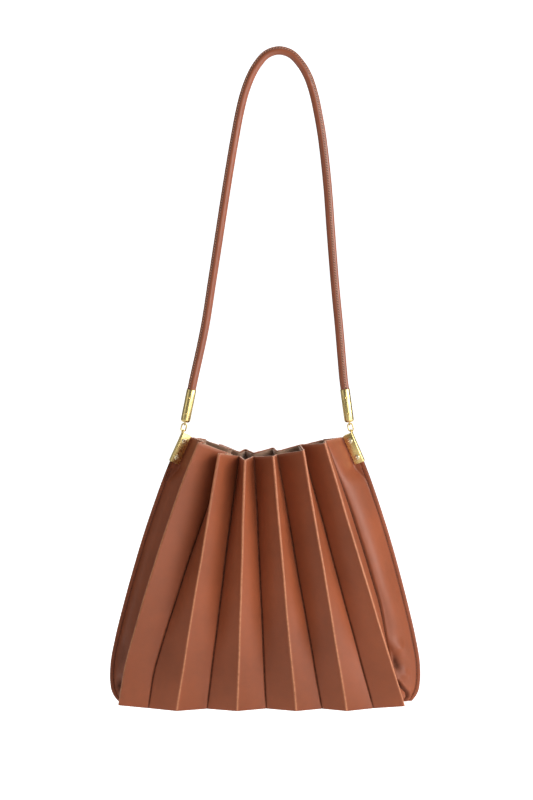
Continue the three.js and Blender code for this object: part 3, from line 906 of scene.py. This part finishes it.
def add_eye(sizes, piece, place):
    """Joins an eye, a ring of wire that stands across the seam, to a piece."""
    deselect_all()
    add_ring(sizes.eye_radius, 0.56 * sizes.wire, 32, location=place, rotation=(0, math.pi / 2, 0))
    bpy.ops.object.transform_apply(location=True, rotation=True, scale=True)
    piece.select_set(True)
    bpy.context.view_layer.objects.active = piece
    bpy.ops.object.join()


def seam_matrix(sizes, side):
    """The frame of a mouth's corner: x inward, y across the seam, z up along it."""
    down, inward = seam_axes(sizes, side, 0)
    up = -Vector(down)
    inward = Vector(inward)
    across = up.cross(inward)
    corner = Vector(seam_point(sizes, side, 0))
    corner.y = 0
    basis = Matrix((inward, across, up)).transposed().to_4x4()
    return Matrix.Translation(corner) @ basis @ Matrix.Rotation(-side * sizes.corner_turn, 4, "Z")


def hanging_frames(sizes, side):
    """Frames of the link and the ferrule of one side, with z up along each."""
    link_lean, ferrule_lean = (math.radians(lean) for lean in HANG_LEAN[side])
    lug_rise = 0.9 * MM
    clearance = 0.3 * MM
    lug = Vector((-clearance - sizes.clip_metal / 2, 0, sizes.clip_rise + lug_rise))
    link_reach = sizes.link_straight / 2 + sizes.link_radius - sizes.wire - clearance + sizes.eye_radius
    straight = seam_matrix(sizes, side) @ Matrix.Rotation(side * sizes.corner_turn, 4, "Z")
    ups = [Vector((-side * math.sin(lean), 0, math.cos(lean))) for lean in (link_lean, ferrule_lean)]
    link = straight @ lug + ups[0] * link_reach
    ferrule = link + ups[0] * link_reach + ups[1] * lug_rise

    def upright(point, up):
        across = Vector((up.z, 0, -up.x))
        basis = Matrix((across, Vector((0, 1, 0)), up)).transposed().to_4x4()
        return Matrix.Translation(point) @ basis

    return upright(link, ups[0]), upright(ferrule, ups[1])


def spline_through(points, steps):
    """A smooth curve through points, with even spacing by the square root of their distances."""
    points = np.array(points, float)
    points = np.vstack((2 * points[0] - points[1], points, 2 * points[-1] - points[-2]))
    line = []
    for index in range(1, len(points) - 2):
        p0, p1, p2, p3 = points[index - 1:index + 3]
        t1 = math.sqrt(np.linalg.norm(p1 - p0))
        t2 = t1 + math.sqrt(np.linalg.norm(p2 - p1))
        t3 = t2 + math.sqrt(np.linalg.norm(p3 - p2))
        for t in np.linspace(t1, t2, steps, endpoint=False):
            a1 = (t1 - t) / t1 * p0 + t / t1 * p1
            a2 = (t2 - t) / (t2 - t1) * p1 + (t - t1) / (t2 - t1) * p2
            a3 = (t3 - t) / (t3 - t2) * p2 + (t - t2) / (t3 - t2) * p3
            b1 = (t2 - t) / t2 * a1 + t / t2 * a2
            b2 = (t3 - t) / (t3 - t1) * a2 + (t - t1) / (t3 - t1) * a3
            line.append((t2 - t) / (t2 - t1) * b1 + (t - t1) / (t2 - t1) * b2)
    line.append(points[-2])
    return np.array(line)


def evenly(line, count):
    """A line's points spaced evenly along it, and its length."""
    lengths = lengths_along(line)
    places = np.linspace(0, lengths[-1], count)
    columns = [np.interp(places, lengths, line[:, axis]) for axis in range(line.shape[1])]
    return np.column_stack(columns), lengths[-1]


def strap_line(sizes):
    """Points along the strap from one ferrule's mouth to the other's, and its length."""
    ends = []
    for side in (-1, 1):
        _, ferrule = hanging_frames(sizes, side)
        rises = (sizes.ferrule_length - 0.8 * MM, sizes.ferrule_length + sizes.strap_diameter)
        ends.append([np.array(ferrule @ Vector((0, 0, rise)))[[0, 2]] for rise in rises])
    route = [*ends[0], *(np.array(point) * MM for point in STRAP_ROUTE), *reversed(ends[1])]
    flat, length = evenly(spline_through(route, 24), sizes.strap_rings)
    return np.column_stack((flat[:, 0], np.zeros(len(flat)), flat[:, 1])), length


def strap_frame(line):
    """Directions along the strap and outward in the plane of its arch."""
    along = unit(np.gradient(line, axis=0))
    outward = np.column_stack((-along[:, 2], np.zeros(len(line)), along[:, 0]))
    return along, outward


def seam_angle(share):
    """Where the strap's seam lies round it, from outward towards the front."""
    return math.radians(mix(48, 76, float(smoothstep(0.5, 0.74, share))))


def stitches(name, places, length, radius):
    """Short thread stitches, each sunk at its two ends. places are (point, along, outward)."""
    half = ((0.5, 0.25, -0.9), (0.38, 0.8, -0.25), (0.15, 1, 0.1))
    profile = [(-step, width, rise) for step, width, rise in half] + list(reversed(half))
    sides = 6
    points, faces = [], []
    for point, along, outward in places:
        across = np.cross(along, outward)
        faces += tube_faces(len(profile), sides, len(points))
        for step, width, rise in profile:
            middle = point + along * step * length + outward * rise * radius
            for side in range(sides):
                turn = 2 * math.pi * side / sides
                points.append(middle + width * radius * (across * math.cos(turn) + outward * math.sin(turn)))
    return new_mesh_object(name, points, faces)


class MakeStage(bpy.types.Operator):
    """Adds the pale floor, the backdrop, the soft lights and the camera"""

    bl_idname = "bag.make_stage"
    bl_label = "Stage"

    def execute(self, context):
        colours = context.scene.bag_colours
        tilt = math.radians(VIEW_TILT)
        camera_data = bpy.data.cameras.new("camera")
        camera_data.sensor_fit = "VERTICAL"
        camera_data.sensor_height = 36
        camera_data.lens = VIEW_LENS
        camera = bpy.data.objects.new("camera", camera_data)
        camera.location = VIEW_CENTRE + Vector((0, -math.cos(tilt), math.sin(tilt))) * VIEW_DISTANCE
        camera.rotation_euler = (math.pi / 2 - tilt, 0, 0)
        context.collection.objects.link(camera)
        context.scene.camera = camera
        context.scene.view_settings.view_transform = "Standard"

        self.add_floor(tuple(colours.studio))
        for light in LIGHTS:
            self.add_light(context, *light)
        self.add_room(context)
        return {"FINISHED"}

    def add_room(self, context):
        """A dim white room round the stage, which looks as pale as the backdrop where it is seen."""
        world = bpy.data.worlds.new("studio")
        world.use_nodes = True
        tree = world.node_tree
        tree.nodes["Background"].inputs["Color"].default_value = (1, 1, 1, 1)
        rays = tree.nodes.new("ShaderNodeLightPath")
        strength = tree.nodes.new("ShaderNodeMapRange")
        strength.inputs["To Min"].default_value, strength.inputs["To Max"].default_value = ROOM_GLOW
        tree.links.new(rays.outputs["Is Camera Ray"], strength.inputs["Value"])
        tree.links.new(strength.outputs["Result"], tree.nodes["Background"].inputs["Strength"])
        context.scene.world = world

    def add_light(self, context, name, place, size, power):
        data = bpy.data.lights.new(name, "AREA")
        data.shape = "SQUARE"
        data.size = size
        data.energy = power
        lamp = bpy.data.objects.new(name, data)
        lamp.location = place
        lamp.rotation_euler = (VIEW_CENTRE - Vector(place)).to_track_quat("-Z", "Y").to_euler()
        context.collection.objects.link(lamp)

    def add_floor(self, colour):
        """One sweep: a flat floor that curves up into the backdrop."""
        deselect_all()
        level, back = frame_box[0][2] - FLOOR_DROP, FLOOR_SIZE / 2 - 0.1
        bpy.ops.mesh.primitive_plane_add(size=FLOOR_SIZE, location=(0, 0, level))
        floor = start_piece("studio_floor")
        bpy.ops.object.mode_set(mode="EDIT")
        pick(floor, "edges", lambda edge: all(vert.co.y > back for vert in edge.verts))
        bpy.ops.mesh.extrude_region_move(TRANSFORM_OT_translate={"value": (0, 0, BACKDROP_HEIGHT)})
        pick(floor, "edges", lambda edge: all(
            vert.co.y > back and vert.co.z < level + 0.1 for vert in edge.verts))
        bpy.ops.mesh.bevel(offset=BACKDROP_BEND, segments=16, affect="EDGES")
        bpy.ops.object.mode_set(mode="OBJECT")
        bpy.ops.object.shade_smooth()
        board = NodeBoard("studio_paper")
        tone = board.blend(board.spread(board.noise(3, 2), 0.3, 0.7), scaled(colour, 0.99), colour)
        seen = board.add("ShaderNodeLightPath").outputs["Is Camera Ray"]
        board.join(board.spread(seen, 0, 1, *FLOOR_GLOW), board.shader.inputs["Emission Strength"])
        paper = board.finish(tone, 0.9, None, Emission_Color=(1, 1, 1, 1))
        floor.data.materials.append(paper)


class MakeStrap(bpy.types.Operator):
    """Adds the rolled leather strap with its stitched seam"""

    bl_idname = "bag.make_strap"
    bl_label = "Strap"

    def execute(self, context):
        sizes, colours = context.scene.bag_sizes, context.scene.bag_colours
        line, length = strap_line(sizes)
        along, outward = strap_frame(line)
        front = np.array((0, -1, 0))
        radius, last = sizes.strap_diameter / 2, len(line) - 1

        def round_strap(index, turn):
            """The direction out of the strap at a turn from outward towards the front."""
            return outward[index] * math.cos(turn) + front * math.sin(turn)

        points, painted_groove_shade = [], []
        for index, point in enumerate(line):
            for side in range(STRAP_SIDES):
                turn = 2 * math.pi * side / STRAP_SIDES
                offset = abs((turn + math.pi) % (2 * math.pi) - math.pi)
                groove = bell(offset, GROOVE_ANGLE)
                reach = radius * (1 - GROOVE_DEPTH * groove + LIP_RISE * bell(offset - LIP_ANGLE, LIP_SPREAD))
                reach *= 1 + 0.006 * wobble(side, 6 * index / last)
                points.append(point + reach * round_strap(index, seam_angle(index / last) + turn))
                painted_groove_shade.append(groove)
        # Painted shade along the groove of the strap's seam, and no lighter ridges.
        marks = (("fold_wear", np.zeros(len(points))), ("fold_shade", painted_groove_shade))
        strap = new_mesh_object("strap", points, tube_faces(len(line), STRAP_SIDES, flip=True), marks)
        leather = leather_material("strap_leather", colours.strap, colours.fold, gloss=0.14, shine=0.6)
        finish_piece(strap, "strap", leather, "strap_cord")

        places = []
        for number in range(int((length - 0.004) / sizes.strap_pitch)):
            share = (0.003 + number * sizes.strap_pitch) / length
            nearest, below = min(int(round(share * last)), last), min(int(share * last), last - 1)
            middle = mix(line[below], line[below + 1], share * last - below)
            out = round_strap(nearest, seam_angle(share))
            across = np.cross(out, along[nearest])
            slant = along[nearest] * math.cos(STITCH_SLANT) + across * math.sin(STITCH_SLANT)
            places.append((middle + out * radius * 0.97, slant, out))
        thread = thread_material("strap_thread", colours.strap_thread)
        finish_piece(stitches("strap_stitches", places, 2.2 * MM, 0.42 * MM), "strap", thread)
        context.scene["strap_facts"] = {
            "exit": list(line[0] - HANG_POINT),
            "length": length,
            "path": [list(point - HANG_POINT) for point in line],
        }
        return {"FINISHED"}


def declare_strap(context):
    """Reads the strap's facts and the names of the pieces it carries, and does nothing more with them."""
    facts = context.scene["strap_facts"]
    carried = [f"gold_{kind}_{side}" for kind in ("ferrule", "link") for side in SIDES.values()]
    carried.append("strap_stitches")
    tuple(facts["exit"])
    [tuple(point) for point in facts["path"]]


class MakeWalls(bpy.types.Operator):
    """Adds the two pleated leather walls with the stitches of their side seams"""

    bl_idname = "bag.make_walls"
    bl_label = "Leather walls"

    def execute(self, context):
        sizes, colours = context.scene.bag_sizes, context.scene.bag_colours
        leather = leather_material("bag_leather", colours.leather, colours.fold, colours.rim)
        for facing, name in FACES.items():
            sections = [WallSection(sizes, drop, facing).outer_line() for drop in row_drops()]
            rows, normals, wear_and_highlight, shade = (list(part) for part in zip(*sections))
            self.fray(rows[0], facing)
            loop, parts, levels = sheet_rows(rows, normals, sizes.leather_wall, 0.4 * MM)
            # Marks of the walls: ridges lighter by wear and painted highlight, painted shade in the valleys,
            # dents and beside the seams, and the cut edges.
            marks = (
                ("fold_wear", np.concatenate([wear_and_highlight[level] for level in levels])),
                ("fold_shade", np.concatenate([shade[level] for level in levels])),
                ("cut_edge", np.repeat(parts, loop.shape[1])),
            )
            wall = sheet_object(f"{name}_wall", loop, facing, marks)
            finish_piece(wall, "leather", leather, f"{name}_panel")
            self.add_stitches(sizes, colours, facing, name)
        return {"FINISHED"}

    def fray(self, row, facing):
        """Makes the cut edge of the mouth slightly uneven."""
        for index, point in enumerate(row):
            point[2] += 0.28 * MM * wobble(3 + facing, 900 * point[0] + 0.7 * (index % 2))

    def add_stitches(self, sizes, colours, facing, name):
        """The row of stitches along both side seams of one wall."""
        places = []
        out = np.array((0, -facing, 0))
        for side in SIDES:
            drops = np.linspace(0.128, 0.992, 400)
            line = [flange_point(sizes, side, drop, sizes.seam_stitch, facing) for drop in drops]
            line = np.array(line) * (1, facing, 1)
            spaced, _ = evenly(line, int(lengths_along(line)[-1] / sizes.stitch_pitch))
            steps = unit(np.gradient(spaced, axis=0))
            places += [(point - out * 0.3 * MM, step, out) for point, step in zip(spaced, steps)]
        thread = material_once("seam_thread", thread_material, colours.thread)
        finish_piece(stitches(f"{name}_stitches", places, 2.1 * MM, 0.36 * MM), "leather", thread)


class MakeLining(bpy.types.Operator):
    """Adds the brushed lining inside both walls"""

    bl_idname = "bag.make_lining"
    bl_label = "Lining"

    def execute(self, context):
        sizes, colours = context.scene.bag_sizes, context.scene.bag_colours
        cloth = lining_material(colours.lining)
        gap = 0.06 * MM
        for facing, name in FACES.items():
            sections = [WallSection(sizes, drop, facing) for drop in np.linspace(0, 1, 56)]
            lines = [section.inner_line(sizes.leather_wall + gap, sizes.lining_wall) for section in sections]
            rows, normals = (list(part) for part in zip(*lines))
            rows[0][:, 2] -= sizes.lining_drop
            rows[-1][:, 2] += sizes.base_thickness + 0.4 * MM
            loop, _, _ = sheet_rows(rows, normals, sizes.lining_wall, 0.35 * MM)
            lining = sheet_object(f"{name}_lining_cloth", loop, facing)
            finish_piece(lining, "lining", cloth, f"{name}_lining")
        return {"FINISHED"}


class MakeBase(bpy.types.Operator):
    """Adds the leather-covered base board between the walls' lower edges"""

    bl_idname = "bag.make_base"
    bl_label = "Base"

    def execute(self, context):
        sizes, colours = context.scene.bag_sizes, context.scene.bag_colours
        line, normals, _, _ = WallSection(sizes, 1.0).outer_line()
        inset = sizes.leather_wall + 0.1 * MM
        edge = line.copy()
        edge[:, :2] += normals * inset
        edge = edge[16:-16]
        edge[:, 0] = np.maximum.accumulate(edge[:, 0])
        edge[:, 2] = np.maximum(edge[:, 2], 0)
        rim = 0.7 * MM
        corner = rim * (1 - math.sqrt(0.5))
        thickness = sizes.base_thickness
        profile = [(rim, 0), (corner, corner), (0, rim)]
        profile += [(inside, thickness - rise) for inside, rise in reversed(profile)]
        across = [-1, -0.66, -0.33, 0, 0.33, 0.66, 1]
        points = []
        for x, y, z in edge:
            half = max(-y, 1.5 * MM)
            for inside, rise in profile:
                points.append((x, -half + inside, z + rise))
            for share in across[1:-1]:
                points.append((x, share * (half - rim), z + thickness))
            for inside, rise in reversed(profile):
                points.append((x, half - inside, z + rise))
            for share in reversed(across[1:-1]):
                points.append((x, share * (half - rim), z))
        ring = 2 * len(profile) + 2 * (len(across) - 2)
        base = new_mesh_object("base_board", points, tube_faces(len(edge), ring))
        make_active(base)
        bpy.ops.object.mode_set(mode="EDIT")
        bpy.ops.mesh.select_all(action="SELECT")
        bpy.ops.mesh.normals_make_consistent(inside=False)
        bpy.ops.object.mode_set(mode="OBJECT")
        bpy.ops.object.shade_smooth_by_angle(angle=math.radians(50))
        # The base's leather is the walls' leather made darker: painted shade for the underside.
        cover = leather_material("base_cover", scaled(colours.leather, 0.92))
        finish_piece(base, "base_leather", cover, "base")
        return {"FINISHED"}


class MakeClips(bpy.types.Operator):
    """Adds the folded gold clips over the mouth's corners, each with its eye and screws"""

    bl_idname = "bag.make_clips"
    bl_label = "Corner clips"

    def execute(self, context):
        sizes, colours = context.scene.bag_sizes, context.scene.bag_colours
        gold = material_once("gold_plate", gold_material, colours.gold, 0.25)
        # The screws get a paler copy of the gold: painted highlight on their heads.
        pale = material_once("screw_plate", gold_material, colours.screw, 0.24)
        for side, name in SIDES.items():
            matrix = seam_matrix(sizes, side)
            clip = settle(self.plate(sizes, name), matrix)
            finish_piece(clip, "gold", gold, f"corner_clip_{name}")
            for level, place in (("upper", sizes.screw_upper), ("lower", sizes.screw_lower)):
                screw = settle(self.screw(sizes, f"gold_screw_{name}_{level}", place), matrix)
                finish_piece(screw, "screws", pale, f"clip_screw_{name}_{level}")
        return {"FINISHED"}

    def plate(self, sizes, name):
        """A sheet bent round the seam: front, spine and back, with rounded bends and clipped corners."""
        deselect_all()
        left, right = -0.3 * MM - sizes.clip_metal, sizes.clip_reach
        bpy.ops.mesh.primitive_cube_add(
            size=1,
            location=((left + right) / 2, 0, sizes.clip_rise - sizes.clip_length / 2),
            scale=(right - left, 2 * sizes.clip_face, sizes.clip_length),
        )
        plate = start_piece(f"gold_clip_{name}")
        bpy.ops.object.mode_set(mode="EDIT")
        pick(plate, "faces", lambda face: face.normal.x > 0.9 or abs(face.normal.z) > 0.9)
        bpy.ops.mesh.delete(type="FACE")
        pick(plate, "edges", lambda edge: all(vert.co.x < left + 0.1 * MM for vert in edge.verts)
             and abs(edge.verts[0].co.z - edge.verts[1].co.z) > 10 * MM)
        bpy.ops.mesh.bevel(offset=1.3 * MM, segments=5, affect="EDGES")
        pick(plate, "verts", lambda vert: vert.co.x > right - 0.1 * MM)
        bpy.ops.mesh.bevel(offset=1.0 * MM, segments=3, affect="VERTICES")
        bpy.ops.object.mode_set(mode="OBJECT")
        apply_modifier(plate, "SOLIDIFY", thickness=sizes.clip_metal, offset=-1)
        soften(plate, 0.16 * MM, 50)
        add_eye(sizes, plate, (-0.7 * MM, 0, sizes.clip_rise + 0.9 * MM))
        return plate

    def screw(self, sizes, name, place):
        """A round head with a rolled edge and a drilled recess, on both faces of the clip."""
        height = 1.2 * MM
        rim_above = sizes.clip_face + height - 0.15 * MM
        heads = []
        for facing in (-1, 1):
            deselect_all()
            bpy.ops.mesh.primitive_cylinder_add(
                vertices=32,
                radius=sizes.screw_radius,
                depth=height,
                location=(sizes.screw_inset, facing * (sizes.clip_face + height / 2 - 0.05 * MM), -place),
                rotation=(-facing * math.pi / 2, 0, 0),
            )
            head = start_piece(name)
            bpy.ops.object.mode_set(mode="EDIT")
            pick(head, "edges", lambda edge: all(facing * vert.co.y > rim_above for vert in edge.verts))
            bpy.ops.mesh.bevel(offset=0.55 * MM, segments=4, affect="EDGES")
            pick(head, "faces", lambda face: len(face.verts) > 8 and facing * face.normal.y > 0.9)
            for inset, depth in SCREW_STEPS:
                bpy.ops.mesh.inset(thickness=inset, depth=depth)
            bpy.ops.object.mode_set(mode="OBJECT")
            heads.append(head)
        heads[0].select_set(True)
        bpy.context.view_layer.objects.active = heads[0]
        bpy.ops.object.join()
        heads[0].name = name
        return heads[0]


class MakeFerrules(bpy.types.Operator):
    """Adds the gold ferrules at the strap's ends and the links that hang them on the clips"""

    bl_idname = "bag.make_ferrules"
    bl_label = "Ferrules and links"

    def execute(self, context):
        sizes, colours = context.scene.bag_sizes, context.scene.bag_colours
        gold = material_once("gold_plate", gold_material, colours.gold, 0.25)
        for side, name in SIDES.items():
            link_frame, ferrule_frame = hanging_frames(sizes, side)
            finish_piece(settle(self.link(sizes, name), link_frame), "gold", gold, f"link_{name}")
            finish_piece(settle(self.ferrule(sizes, name), ferrule_frame), "gold", gold, f"ferrule_{name}")
        return {"FINISHED"}

    def link(self, sizes, name):
        """A ring of round wire, pulled out to an oval."""
        deselect_all()
        add_ring(sizes.link_radius, 0.6 * sizes.wire, 36, rotation=(math.pi / 2, 0, 0))
        link = start_piece(f"gold_link_{name}")
        bpy.ops.object.mode_set(mode="EDIT")
        for end in (1, -1):
            pick(link, "verts", lambda vert: end * vert.co.z > 0.01 * MM)
            bpy.ops.transform.translate(value=(0, 0, end * sizes.link_straight / 2))
        bpy.ops.object.mode_set(mode="OBJECT")
        return link

    def ferrule(self, sizes, name):
        """A sleeve with a domed lower end and an eye, a rolled mouth and two punched dimples."""
        deselect_all()
        length, radius = sizes.ferrule_length, sizes.ferrule_radius
        middle = (0, 0, length / 2)
        bpy.ops.mesh.primitive_cylinder_add(vertices=48, radius=radius, depth=length, location=middle)
        sleeve = start_piece(f"gold_ferrule_{name}")
        bpy.ops.object.mode_set(mode="EDIT")
        pick(sleeve, "edges", lambda edge: all(vert.co.z < 0.1 * MM for vert in edge.verts))
        bpy.ops.mesh.bevel(offset=2.6 * MM, segments=7, affect="EDGES")
        pick(sleeve, "faces", lambda face: face.normal.z > 0.9
             and face.calc_center_median().z > length - 0.1 * MM)
        bpy.ops.mesh.inset(thickness=radius - sizes.strap_diameter / 2 - 0.02 * MM, depth=0)
        bpy.ops.mesh.inset(thickness=0.02 * MM, depth=-1.0 * MM)
        bpy.ops.object.mode_set(mode="OBJECT")
        soften(sleeve, 0.14 * MM, 60)
        for share in (0.27, 0.75):
            deselect_all()
            place = (0, -radius - 0.45 * MM, share * length)
            bpy.ops.mesh.primitive_uv_sphere_add(segments=24, ring_count=16, radius=1.15 * MM, location=place)
            punch = bpy.context.object
            make_active(sleeve)
            apply_modifier(sleeve, "BOOLEAN", operation="DIFFERENCE", object=punch, solver="EXACT")
            bpy.data.objects.remove(punch)
        add_eye(sizes, sleeve, (0, 0, -0.9 * MM))
        return sleeve


class BagPanel(bpy.types.Panel):
    """Lists the steps that make the bag, with its sizes and colours."""

    bl_idname = "VIEW3D_PT_bag"
    bl_label = "Pleated Shoulder Bag"
    bl_space_type = "VIEW_3D"
    bl_region_type = "UI"
    bl_category = "Bag"

    def draw(self, context):
        layout = self.layout
        for step in STEPS:
            layout.operator(step.bl_idname, text=step.bl_label)
        for group in (context.scene.bag_sizes, context.scene.bag_colours):
            box = layout.box()
            for key in group.__annotations__:
                box.prop(group, key)


STEPS = (MakeStage, MakeStrap, MakeFerrules, MakeClips, MakeWalls, MakeLining, MakeBase)
CLASSES = (BagSizes, BagColours, *STEPS, BagPanel)


def register():
    for item in CLASSES:
        bpy.utils.register_class(item)
    bpy.types.Scene.bag_sizes = PointerProperty(type=BagSizes)
    bpy.types.Scene.bag_colours = PointerProperty(type=BagColours)


def unregister():
    del bpy.types.Scene.bag_colours
    del bpy.types.Scene.bag_sizes
    for item in reversed(CLASSES):
        bpy.utils.unregister_class(item)


def main():
    register()
    bpy.ops.bag.make_stage()
    bpy.ops.bag.make_strap()
    bpy.ops.bag.make_ferrules()
    bpy.ops.bag.make_clips()
    bpy.ops.bag.make_walls()
    bpy.ops.bag.make_lining()
    bpy.ops.bag.make_base()
    declare_strap(bpy.context)


if __name__ == "__main__":
    main()
